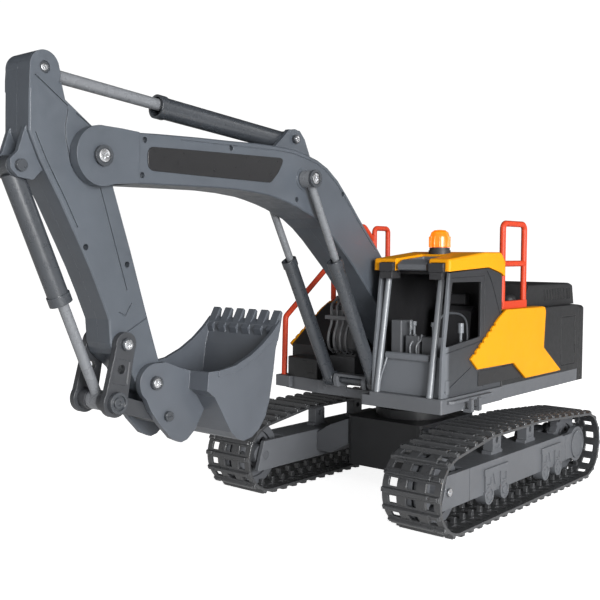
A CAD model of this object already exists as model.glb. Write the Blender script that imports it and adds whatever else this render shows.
"""Looks and small fittings for a toy excavator with a slewing house, a cab and a bucket arm.

The machine stands on z = 0 and faces +X, with its left side towards +Y. The cab is on the
left. Outlines and places are in millimetres and become metres when a mesh is made. Positions
inside shaders, the lights and the camera are in metres.
"""
from math import cos, pi, radians, sin, sqrt, tan

import bmesh
import bpy
from mathutils import Matrix, Vector


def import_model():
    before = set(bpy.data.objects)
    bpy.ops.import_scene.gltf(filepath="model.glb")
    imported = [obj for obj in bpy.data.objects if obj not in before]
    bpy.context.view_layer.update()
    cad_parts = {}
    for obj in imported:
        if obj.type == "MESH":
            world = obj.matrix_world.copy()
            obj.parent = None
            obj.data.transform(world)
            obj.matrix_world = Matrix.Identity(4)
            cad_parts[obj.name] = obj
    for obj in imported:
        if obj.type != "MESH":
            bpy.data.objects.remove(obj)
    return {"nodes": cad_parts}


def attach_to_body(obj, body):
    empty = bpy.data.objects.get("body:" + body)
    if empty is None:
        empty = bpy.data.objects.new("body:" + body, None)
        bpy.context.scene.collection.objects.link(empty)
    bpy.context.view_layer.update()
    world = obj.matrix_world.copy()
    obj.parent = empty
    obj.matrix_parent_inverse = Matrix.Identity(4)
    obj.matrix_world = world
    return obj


MM = 0.001
SIDES = (("left", 1), ("right", -1))    # name, sign of y

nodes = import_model()["nodes"]
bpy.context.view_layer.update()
scene = bpy.context.scene


# --------------------------------------------------------------------------
# Shader building
# --------------------------------------------------------------------------
class NodeGraph:
    """A node tree with short calls for the nodes used here."""

    def __init__(self, tree):
        self.tree = tree

    def feed(self, node, inputs):
        """Link each named input to a socket, or give it a fixed value."""
        for key, value in inputs.items():
            if isinstance(value, bpy.types.NodeSocket):
                self.tree.links.new(value, node.inputs[key])
            else:
                node.inputs[key].default_value = value

    def node(self, kind, inputs=None, **properties):
        node = self.tree.nodes.new("ShaderNode" + kind)
        for key, value in properties.items():
            setattr(node, key, value)
        self.feed(node, inputs or {})
        return node

    def math(self, operation, *values):
        return self.node("Math", dict(enumerate(values)), operation=operation).outputs[0]

    def multiply(self, first, second):
        return self.math("MULTIPLY", first, second)

    def add(self, first, second):
        return self.math("ADD", first, second)

    def dot(self, first, second):
        node = self.node("VectorMath", {0: first, 1: second}, operation="DOT_PRODUCT")
        return node.outputs["Value"]

    def remap(self, value, span, to=(0.0, 1.0)):
        """Carry the range `span` over to the range `to`, clamped."""
        return self.node("MapRange", {
            "Value": value, "From Min": span[0], "From Max": span[1],
            "To Min": to[0], "To Max": to[1]}).outputs["Result"]

    def noise(self, place, scale, detail, roughness, distortion=0.0):
        return self.node("TexNoise", {
            "Vector": place, "Scale": scale, "Detail": detail,
            "Roughness": roughness, "Distortion": distortion}).outputs["Fac"]

    def stretch(self, place, scale):
        return self.node("Mapping", {"Vector": place, "Scale": scale}).outputs["Vector"]

    def mix(self, factor, first, second):
        """Blend two colours, each an (r, g, b) tuple or a socket."""
        first, second = (color + (1.0,) if isinstance(color, tuple) else color
                         for color in (first, second))
        return self.node("Mix", {0: factor, 6: first, 7: second}, data_type="RGBA").outputs[2]

    def place(self):
        return self.node("TexCoord").outputs["Object"]

    def split(self, vector):
        return self.node("SeparateXYZ", {0: vector}).outputs

    def soft_normal(self, radius):
        """Normal rounded over the edges; radius in mm."""
        return self.node("Bevel", {"Radius": radius * MM}, samples=4).outputs["Normal"]

    def bump(self, height, normal, strength, distance):
        return self.node("Bump", {
            "Strength": strength, "Distance": distance, "Height": height,
            "Normal": normal}).outputs["Normal"]


class Look(NodeGraph):
    """A new material with a Principled surface."""

    def __init__(self, name):
        self.material = bpy.data.materials.new(name)
        self.material.use_nodes = True
        super().__init__(self.material.node_tree)
        self.tree.nodes.clear()
        output = self.node("OutputMaterial")
        self.bsdf = self.node("BsdfPrincipled")
        self.feed(output, {"Surface": self.bsdf.outputs["BSDF"]})

    def surface(self, inputs):
        self.feed(self.bsdf, inputs)

    def base_color(self):
        return self.bsdf.inputs["Base Color"].links[0].from_socket


def scaled(rgb, factor):
    return tuple(min(1.0, max(0.0, channel * factor)) for channel in rgb)


# --------------------------------------------------------------------------
# Materials
# --------------------------------------------------------------------------
def plastic(name, rgb, rough, grain, edge, edge_light, mottle, specular=0.45,
            dust=0.0, speckle=0.0, streak=None):
    """Moulded plastic: faint flow marks, fine grain, soft edges that catch the light."""
    look = Look(name)
    place = look.place()
    flow = look.noise(place, scale=22.0, detail=3.0, roughness=0.5, distortion=0.4)
    patch = look.noise(place, scale=160.0, detail=3.0, roughness=0.6)
    fine = look.noise(place, scale=2600.0, detail=2.0, roughness=0.6)

    base = look.mix(look.remap(flow, span=(0.3, 0.7)),
                    scaled(rgb, 1.0 - mottle), scaled(rgb, 1.0 + mottle))
    patch_amount = look.multiply(look.remap(patch, span=(0.35, 0.75)), 0.35)
    base = look.mix(patch_amount, base, scaled(rgb, 1.0 + 1.4 * mottle))
    if speckle:
        dots = look.multiply(look.remap(fine, span=(0.62, 0.75)), speckle)
        base = look.mix(dots, base, scaled(rgb, 1.7))

    # An edge is where the rounded normal leaves the true one.
    soft = look.soft_normal(edge)
    true_normal = look.node("NewGeometry").outputs["Normal"]
    edges = look.remap(look.dot(soft, true_normal), span=(0.998, 0.86))
    base = look.mix(look.multiply(edges, 0.55), base, scaled(rgb, edge_light))
    if dust:
        facing_up = look.remap(look.split(true_normal)["Z"], span=(0.5, 1.0))
        settled = look.multiply(facing_up, look.remap(patch, span=(0.35, 0.7), to=(0.2, 1.0)))
        base = look.mix(look.multiply(settled, dust), base, (0.42, 0.41, 0.39))

    height = look.add(look.multiply(fine, 0.5), look.multiply(patch, 0.25))
    if streak:
        lines = look.noise(look.stretch(place, streak), scale=1.0, detail=4.0, roughness=0.65)
        height = look.add(height, look.multiply(lines, 0.6))
        line_amount = look.multiply(look.remap(lines, span=(0.35, 0.7)), 0.35)
        base = look.mix(line_amount, base, scaled(rgb, 1.35))

    roughness = look.add(look.remap(patch, span=(0.3, 0.7), to=(rough - 0.05, rough + 0.06)),
                         look.multiply(fine, 0.04))
    roughness = look.add(roughness, look.multiply(edges, -0.10))
    look.surface({
        "Base Color": base,
        "Roughness": roughness,
        "Specular IOR Level": specular,
        "Normal": look.bump(height, soft, strength=0.35 * grain, distance=0.00012),
    })
    return look


def metal(name, rgb, rough, edge, brushed=1.0, axis=(1.0, 1.0, 1.0)):
    """Plated or drawn steel: brushing stretched along the small `axis` entry, dull patches."""
    look = Look(name)
    place = look.place()
    brushing = look.stretch(place, tuple(1400.0 * part for part in axis))
    lines = look.noise(brushing, scale=1.0, detail=4.0, roughness=0.6)
    patch = look.noise(place, scale=300.0, detail=3.0, roughness=0.6)
    base = look.mix(look.remap(lines, span=(0.3, 0.7)), scaled(rgb, 0.82), scaled(rgb, 1.1))
    dull = look.multiply(look.remap(patch, span=(0.45, 0.75)), 0.3)
    base = look.mix(dull, base, scaled(rgb, 0.6))
    roughness = look.add(look.remap(lines, span=(0.3, 0.7), to=(rough - 0.06, rough + 0.08)),
                         look.multiply(patch, 0.05))
    look.surface({
        "Base Color": base,
        "Metallic": 1.0,
        "Roughness": roughness,
        "Normal": look.bump(lines, look.soft_normal(edge), strength=0.3 * brushed,
                            distance=0.00008),
    })
    return look


def amber_lens():
    """Clear amber plastic that glows a little."""
    look = Look("amber_lens")
    cloud = look.noise(look.place(), scale=500.0, detail=2.0, roughness=0.5)
    base = look.mix(cloud, (1.0, 0.20, 0.0), (1.0, 0.32, 0.01))
    look.surface({
        "Base Color": base,
        "Roughness": 0.12,
        "IOR": 1.49,
        "Transmission Weight": 0.65,
        "Emission Color": base,
        "Emission Strength": 0.45,
        "Normal": look.soft_normal(0.4),
    })
    return look


def cab_room(look):
    """1 inside the cab's room, up to the middle of its walls, and 0 outside."""
    x, y, z = look.split(look.place())
    # The front wall leans back as it rises.
    front = look.add(x, look.multiply(look.add(z, -0.1002), 0.149))

    def above(value, limit):
        return look.math("GREATER_THAN", value, limit)

    def below(value, limit):
        return look.math("LESS_THAN", value, limit)

    room = look.multiply(above(x, 0.0093), below(front, 0.0986))
    room = look.multiply(room, look.multiply(above(y, 0.0297), below(y, 0.0929)))
    return look.multiply(room, look.multiply(above(z, 0.1012), below(z, 0.1990)))


def tint_cab(look):
    """Lighter towards the sill and on the front face, black trim inside."""
    x, _, z = look.split(look.place())
    sill = look.remap(z, span=(0.100, 0.165), to=(0.85, 0.0))
    base = look.mix(sill, look.base_color(), (0.044, 0.048, 0.054))
    front = look.multiply(look.remap(x, span=(0.0915, 0.0955)), 0.9)
    base = look.mix(front, base, (0.125, 0.134, 0.148))
    look.surface({"Base Color": look.mix(cab_room(look), base, (0.010, 0.010, 0.011))})


def tint_carbody(look):
    """The legs either side are a lighter grey than the centre box."""
    _, y, _ = look.split(look.place())
    legs = look.remap(look.math("ABSOLUTE", y), span=(0.0398, 0.0404))
    look.surface({"Base Color": look.mix(legs, look.base_color(), (0.082, 0.086, 0.094))})


FRAME_GREY = (0.094, 0.099, 0.108)

# name: colour, roughness, grain, edge radius (mm), edge brightness, mottle, specular, extras
PLASTICS = {
    "boom_plastic": ((0.058, 0.067, 0.080), 0.36, 1.0, 0.5, 1.8, 0.12, 0.6, {}),
    "bucket_plastic": ((0.064, 0.072, 0.085), 0.36, 1.1, 0.6, 2.0, 0.12, 0.6, {}),
    "tube_plastic": ((0.032, 0.036, 0.042), 0.27, 0.9, 0.5, 2.0, 0.08, 0.8, {}),
    "link_plastic": ((0.028, 0.030, 0.034), 0.36, 1.0, 0.6, 2.6, 0.10, 0.6, {}),
    "house_plastic": ((0.0147, 0.01505, 0.0161), 0.42, 1.0, 0.6, 2.6, 0.10, 0.42, {}),
    "deck_plastic": (FRAME_GREY, 0.45, 1.0, 0.6, 1.6, 0.07, 0.45, {}),
    "cab_plastic": ((0.022, 0.023, 0.026), 0.42, 1.0, 0.6, 2.2, 0.08, 0.45, {}),
    "grey_plastic": ((0.098, 0.104, 0.114), 0.42, 1.0, 0.6, 1.6, 0.06, 0.45, {}),
    "lamp_plastic": ((0.026, 0.026, 0.028), 0.36, 0.8, 0.6, 2.2, 0.06, 0.45, {}),
    "track_plastic": ((0.034, 0.035, 0.037), 0.28, 1.3, 0.6, 5.5, 0.14, 0.8, {"dust": 0.02}),
    "frame_plastic": (FRAME_GREY, 0.42, 1.0, 0.6, 1.6, 0.08, 0.45, {}),
    "carbody_plastic": ((0.014, 0.0145, 0.016), 0.42, 1.0, 0.6, 2.4, 0.10, 0.4, {}),
    "yellow_plastic": ((0.68, 0.272, 0.003), 0.44, 0.7, 0.8, 1.12, 0.04, 0.20, {}),
    "red_plastic": ((0.50, 0.045, 0.014), 0.40, 0.6, 0.5, 1.2, 0.05, 0.28, {}),
    "interior_plastic": ((0.022, 0.022, 0.024), 0.50, 1.2, 0.6, 2.6, 0.08, 0.45, {}),
    "seat_plastic": ((0.024, 0.024, 0.026), 0.38, 1.2, 0.8, 3.2, 0.08, 0.45, {}),
    "console_plastic": ((0.066, 0.069, 0.075), 0.42, 1.0, 0.5, 1.8, 0.07, 0.45, {}),
    "rod_plastic": ((0.132, 0.138, 0.148), 0.26, 0.6, 0.5, 1.25, 0.05, 0.6,
                    {"streak": (900.0, 900.0, 60.0)}),
    "pillar_plastic": ((0.150, 0.160, 0.174), 0.30, 0.6, 0.5, 1.4, 0.05, 0.6, {}),
    "gear_plastic": ((0.60, 0.58, 0.52), 0.35, 0.6, 0.3, 1.05, 0.03, 0.45, {}),
    "valve_plastic": ((0.085, 0.087, 0.092), 0.36, 0.8, 0.5, 2.0, 0.08, 0.6, {}),
    "hose_rubber": ((0.110, 0.112, 0.118), 0.34, 1.0, 0.3, 1.8, 0.08, 0.6, {}),
    "board_green": ((0.03, 0.16, 0.06), 0.30, 1.0, 0.3, 1.3, 0.15, 0.45, {"speckle": 0.5}),
    "cell_wrap": ((0.05, 0.13, 0.30), 0.28, 0.5, 0.4, 1.2, 0.04, 0.45, {}),
    "blank_label": ((0.012, 0.012, 0.013), 0.30, 0.4, 0.4, 1.6, 0.05, 0.5, {}),
}
looks = {name: plastic(name, *values, **extras) for name, (*values, extras) in PLASTICS.items()}
looks["screw_steel"] = metal("screw_steel", (0.66, 0.67, 0.69), rough=0.24, edge=0.3,
                             brushed=0.4)
looks["motor_steel"] = metal("motor_steel", (0.55, 0.56, 0.58), rough=0.35, edge=0.4,
                             axis=(1.0, 1.0, 0.05))
looks["amber_lens"] = amber_lens()
tint_cab(looks["cab_plastic"])
tint_carbody(looks["carbody_plastic"])

# material: the loaded pieces that wear it
WEARERS = {
    "carbody_plastic": "carbody travel_motors left_sprocket right_sprocket left_idler "
                       "right_idler turntable slew_retainer",
    "gear_plastic": "slew_ring slew_pinion",
    "frame_plastic": "left_track_frame right_track_frame",
    "track_plastic": "left_track_belt right_track_belt",
    "screw_steel": "undercarriage_screws",
    "motor_steel": "slew_motor",
    "deck_plastic": "deck",
    "cell_wrap": "battery_pack",
    "house_plastic": "battery_cover house_shell engine_hood counterweight tool_box",
    "board_green": "circuit_board",
    "interior_plastic": "speaker beacon_base power_switch",
    "yellow_plastic": "left_side_panel right_side_panel cab_roof",
    "cab_plastic": "cab_shell",
    "grey_plastic": "cab_roof_insert",
    "lamp_plastic": "cab_lamps",
    "pillar_plastic": "cab_pillars cab_levers",
    "seat_plastic": "cab_seat",
    "console_plastic": "cab_console",
    "amber_lens": "beacon_lens",
    "red_plastic": "left_handrail right_handrail",
    "valve_plastic": "valve_block",
    "hose_rubber": "hoses",
    "tube_plastic": "base_pins boom_fasteners arm_fasteners rocker_pin bucket_pins "
                    "boom_cylinder_tubes stick_cylinder_tube bucket_cylinder_tube",
    "boom_plastic": "boom_left_shell boom_right_shell arm_left_shell arm_right_shell",
    "link_plastic": "rocker_links connecting_link",
    "bucket_plastic": "bucket",
    "rod_plastic": "boom_cylinder_rods stick_cylinder_rod bucket_cylinder_rod",
}
piece_look = {piece: looks[name] for name, pieces in WEARERS.items() for piece in pieces.split()}
for piece, node in nodes.items():
    node.data.materials.clear()
    node.data.materials.append(piece_look[piece].material)


# --------------------------------------------------------------------------
# Mesh building, in millimetres
# --------------------------------------------------------------------------
def link(item):
    scene.collection.objects.link(item)
    return item


def mesh_object(name, verts, faces, look):
    mesh = bpy.data.meshes.new(name)
    mesh.from_pydata([tuple(part * MM for part in vert) for vert in verts], [], faces)
    mesh.validate()
    mesh.update()
    item = bpy.data.objects.new(name, mesh)
    mesh.materials.append(look.material)
    return link(item)


def solid_object(name, verts, faces, look):
    """A closed mesh with its normals turned outwards."""
    item = mesh_object(name, verts, faces, look)
    bm = bmesh.new()
    bm.from_mesh(item.data)
    bmesh.ops.recalc_face_normals(bm, faces=bm.faces)
    bm.to_mesh(item.data)
    bm.free()
    return item


def attach(item, body):
    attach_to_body(item, body)


def stack_faces(rings, size):
    """Faces joining a stack of equal rings, with a cap at each end."""
    faces = []
    for k in range(rings - 1):
        low, high = k * size, (k + 1) * size
        for i in range(size):
            j = (i + 1) % size
            faces.append((low + i, low + j, high + j, high + i))
    faces.append(tuple(range(size))[::-1])
    faces.append(tuple((rings - 1) * size + i for i in range(size)))
    return faces


def round_outline(points, radius, steps=5):
    """Corners of a closed 2-D outline rounded off; nearly straight ones are left alone."""
    rounded = []
    for i, point in enumerate(points):
        corner = Vector(point)
        back = Vector(points[i - 1]) - corner
        ahead = Vector(points[(i + 1) % len(points)]) - corner
        back_length, ahead_length = back.length, ahead.length
        back.normalize()
        ahead.normalize()
        angle = back.angle(ahead)
        if angle > radians(175):
            rounded.append(point)
            continue
        cut = min(radius / tan(angle / 2), 0.45 * back_length, 0.45 * ahead_length)
        start, end = corner + back * cut, corner + ahead * cut
        for k in range(steps + 1):
            t = k / steps
            curve = start * (1 - t) ** 2 + corner * 2 * t * (1 - t) + end * t ** 2
            rounded.append((curve.x, curve.y))
    return rounded


def label_plate(name, outline, side, inner, outer, radius, body):
    """Thin plate in an XZ plane, between two distances from the centre plane."""
    bevel = 0.25
    points = round_outline(outline, radius)
    centre_x = sum(x for x, _ in points) / len(points)
    centre_z = sum(z for _, z in points) / len(points)
    # distance from the centre plane, how far the rim is drawn in
    rings = ((inner, 0.0), (outer - bevel, 0.0), (outer - 0.3 * bevel, 0.3 * bevel),
             (outer, bevel))
    verts = []
    for distance, inset in rings:
        for x, z in points:
            inward = Vector((centre_x - x, centre_z - z)).normalized()
            verts.append((x + inward.x * inset, side * distance, z + inward.y * inset))
    plate = solid_object(name, verts, stack_faces(len(rings), len(points)),
                         looks["blank_label"])
    attach(plate, body)


def screw_head(name, x, z, seat, radius, height, side, body):
    """Pan-head screw with a cross recess, seated `seat` from the centre plane, facing out."""
    rings, segments = 16, 64
    turn = 0.35                         # the cross is turned by this angle, radians
    slot_half_width, slot_reach = 0.15 * radius, 0.60 * radius
    sunk = 0.2                          # depth of the rim below the seat
    angles = [2 * pi * a / segments for a in range(segments)]

    verts = [(x, side * (seat + height * 0.35), z)]
    for k in range(1, rings + 1):
        share = k / rings
        reach = radius * share
        for angle in angles:
            across, along = abs(reach * cos(angle)), abs(reach * sin(angle))
            top = height * sqrt(1.0 - 0.62 * share * share)
            if ((across < slot_half_width and along < slot_reach)
                    or (along < slot_half_width and across < slot_reach)):
                top = height * 0.30
            verts.append((x + reach * cos(angle + turn), side * (seat + top),
                          z + reach * sin(angle + turn)))
    base = len(verts)
    for angle in angles:
        verts.append((x + radius * cos(angle + turn), side * (seat - sunk),
                      z + radius * sin(angle + turn)))

    faces = []
    for a in range(segments):
        b = (a + 1) % segments
        faces.append((0, 1 + a, 1 + b))
        for k in range(rings):
            near, far = 1 + k * segments, 1 + (k + 1) * segments
            faces.append((near + a, far + a, far + b, near + b))
    faces.append(tuple(range(base, base + segments)))
    attach(solid_object(name, verts, faces, looks["screw_steel"]), body)


def bent_bar(name, points, radius, look):
    """Round bar through the points, made as a curve and turned into a mesh."""
    curve = bpy.data.curves.new(name, "CURVE")
    curve.dimensions = "3D"
    curve.bevel_depth = radius * MM
    curve.bevel_resolution = 6
    curve.resolution_u = 10
    curve.use_fill_caps = True
    spline = curve.splines.new("BEZIER")
    spline.bezier_points.add(len(points) - 1)
    for knot, point in zip(spline.bezier_points, points):
        knot.co = Vector(point) * MM
        knot.handle_left_type = knot.handle_right_type = "AUTO"
    carrier = link(bpy.data.objects.new(name + "_curve", curve))
    bpy.context.view_layer.update()
    depsgraph = bpy.context.evaluated_depsgraph_get()
    mesh = bpy.data.meshes.new_from_object(carrier.evaluated_get(depsgraph))
    bpy.data.objects.remove(carrier)
    bar = bpy.data.objects.new(name, mesh)
    for face in mesh.polygons:
        face.use_smooth = True
    mesh.materials.clear()
    mesh.materials.append(looks[look].material)
    attach(link(bar), "superstructure")


def turned_piece(name, x, y, profile, look, segments=40):
    """Turned piece standing on Z, from (radius, height) pairs; only its sides are smooth."""
    verts = []
    for radius, z in profile:
        for a in range(segments):
            angle = 2 * pi * a / segments
            verts.append((x + radius * cos(angle), y + radius * sin(angle), z))
    piece = solid_object(name, verts, stack_faces(len(profile), segments), looks[look])
    for face in piece.data.polygons:
        face.use_smooth = len(face.vertices) == 4
    attach(piece, "superstructure")


# --------------------------------------------------------------------------
# Screws and label plates, mirrored on both sides
# --------------------------------------------------------------------------
# name, x, z, seat distance from the centre plane, radius, height, body
SCREWS = (
    ("arm_pivot", 364.4, 268.7, 21.9, 3.9, 1.1, "boom"),
    ("boom_cylinder_pin", 178.0, 267.0, 29.6, 3.9, 1.2, "boom"),
    ("stick_cylinder_base", 179.6, 297.1, 13.2, 2.5, 0.8, "boom"),
    ("stick_cylinder_end", 398.0, 316.0, 11.6, 2.0, 0.6, "arm"),
    ("rocker_pivot", 345.0, 155.3, 19.4, 3.1, 0.8, "arm"),
    ("bucket_pivot", 322.3, 129.1, 19.5, 3.1, 1.0, "bucket_body"),
)
# outlines: x, z
HOUSE_LABEL = [(47, 104.2), (47, 116.6), (-10.6, 116.4), (-29.6, 104.2)]
BOOM_LABEL = [(328.1, 277.6), (328.1, 262.8), (270, 262.4), (214.4, 262.2), (206.4, 270.0),
              (199.6, 280.8), (270, 279.2)]

for side_name, side in SIDES:
    for name, x, z, seat, radius, height, body in SCREWS:
        screw_head(f"{side_name}_{name}_screw", x, z, seat, radius, height, side, body)
    label_plate(f"{side_name}_house_label_plate", HOUSE_LABEL, side,
                inner=94.02, outer=94.7, radius=0.8, body="superstructure")
    label_plate(f"{side_name}_boom_label_plate", BOOM_LABEL, side,
                inner=17.52, outer=18.2, radius=5.5, body="boom")


# --------------------------------------------------------------------------
# House and cab fittings
# --------------------------------------------------------------------------
# Small dome on the house roof, left of centre: radius, z
DOME_PROFILE = [(8.2, 163.02), (8.2, 165.4), (7.6, 166.2), (7.4, 170.0), (6.9, 172.6),
                (5.6, 174.6), (3.4, 175.7), (1.2, 176.0)]
turned_piece("roof_filler_dome", -42.0, 74.0, DOME_PROFILE, "house_plastic")

# Thin bar low on the cab's front, by its inner corner: x, y, z
GRAB_BAR = [(99.0, 33.0, 101.2), (101.8, 35.2, 106.0), (101.0, 36.6, 114.0),
            (99.8, 38.8, 122.0), (97.6, 39.4, 128.0)]
bent_bar("cab_front_grab_bar", GRAB_BAR, 0.75, "pillar_plastic")

# Hoop over the seat back: x, y, z
SEAT_HOOP = [(36.0, 46.0, 120.5), (33.5, 46.0, 146.0), (31.5, 50.0, 158.0),
             (31.0, 61.0, 161.5), (31.5, 72.0, 158.0), (33.5, 76.0, 146.0),
             (36.0, 76.0, 120.5)]
bent_bar("seat_hoop", SEAT_HOOP, 1.0, "pillar_plastic")

# Two levers side by side: x, y from the lever's foot, z
LEVER = [(91.0, 0.0, 131.4), (91.8, 0.0, 136.0), (91.0, 0.6, 140.0), (89.2, 2.6, 143.0),
         (89.0, 3.4, 147.5)]
for number, foot_y in enumerate((57.5, 63.5), 1):
    bent_bar(f"bent_lever_{number}", [(x, foot_y + y, z) for x, y, z in LEVER], 0.8,
             "rod_plastic")


# --------------------------------------------------------------------------
# Floor and world
# --------------------------------------------------------------------------
def floor_paper():
    """White paper that glows for the camera more than for the piece above it."""
    look = plastic("floor_paper", (0.88, 0.88, 0.88), rough=0.9, grain=0.2, edge=0.1,
                   edge_light=1.0, mottle=0.005, specular=0.05)
    seen = look.node("LightPath").outputs["Is Camera Ray"]
    look.surface({
        "Emission Color": (1.0, 1.0, 1.0, 1.0),
        "Emission Strength": look.add(look.multiply(seen, 0.75), 0.12),
    })
    return look


FLOOR_HALF, FLOOR_Z = 6000, -0.2        # mm
floor_corners = [(x * FLOOR_HALF, y * FLOOR_HALF, FLOOR_Z)
                 for x, y in ((-1, -1), (1, -1), (1, 1), (-1, 1))]
mesh_object("floor", floor_corners, [(0, 1, 2, 3)], floor_paper())


def studio_world():
    """White sky, brighter towards the front left, and even where the camera sees it."""
    world = bpy.data.worlds.new("studio")
    scene.world = world
    world.use_nodes = True
    graph = NodeGraph(world.node_tree)
    direction = graph.node("TexCoord").outputs["Generated"]
    facing = graph.dot(direction, (0.74, 0.60, -0.34))
    graded = graph.remap(facing, span=(-0.6, 1.0), to=(0.03, 0.95))
    seen = graph.node("LightPath").outputs["Is Camera Ray"]
    strength = graph.node("Mix", {0: seen, 2: graded, 3: 1.05}, data_type="FLOAT").outputs[0]
    graph.feed(world.node_tree.nodes["Background"],
               {"Strength": strength, "Color": (1.0, 1.0, 1.0, 1.0)})


studio_world()


# --------------------------------------------------------------------------
# Lights and camera, in metres
# --------------------------------------------------------------------------
def area_light(name, location, target, size, power):
    light = bpy.data.lights.new(name, "AREA")
    light.shape = "RECTANGLE"
    light.size, light.size_y = size
    light.energy = power
    lamp = bpy.data.objects.new(name, light)
    lamp.location = location
    aim = Vector(target) - Vector(location)
    lamp.rotation_euler = aim.to_track_quat("-Z", "Y").to_euler()
    link(lamp)


area_light("key", location=(0.95, 2.0, 0.52), target=(0.12, 0, 0.16), size=(1.0, 0.8), power=72)
area_light("sheen", location=(-1.6, 1.3, 1.0), target=(0.2, 0, 0.18), size=(0.5, 0.9), power=3)


def add_camera(location, target, roll, lens):
    """Camera aimed at the target, then rolled about its line of sight."""
    data = bpy.data.cameras.new("camera")
    camera = link(bpy.data.objects.new("camera", data))
    view = (target - location).normalized()
    right = view.cross(Vector((0, 0, 1))).normalized()
    up = right.cross(view)
    rolled_right = right * cos(roll) + up * sin(roll)
    rolled_up = up * cos(roll) - right * sin(roll)
    rotation = Matrix((rolled_right, rolled_up, -view)).transposed()
    camera.matrix_world = Matrix.Translation(location) @ rotation.to_4x4()
    data.sensor_width = 36.0
    data.lens = lens
    data.clip_start = 0.01
    data.clip_end = 50
    scene.camera = camera


add_camera(location=Vector((0.6946, 0.4537, 0.2125)), target=Vector((0.158, -0.002, 0.175)),
           roll=radians(0.311), lens=53.85)
scene.view_settings.view_transform = "Standard"
scene.view_settings.look = "None"

bpy.context.view_layer.update()
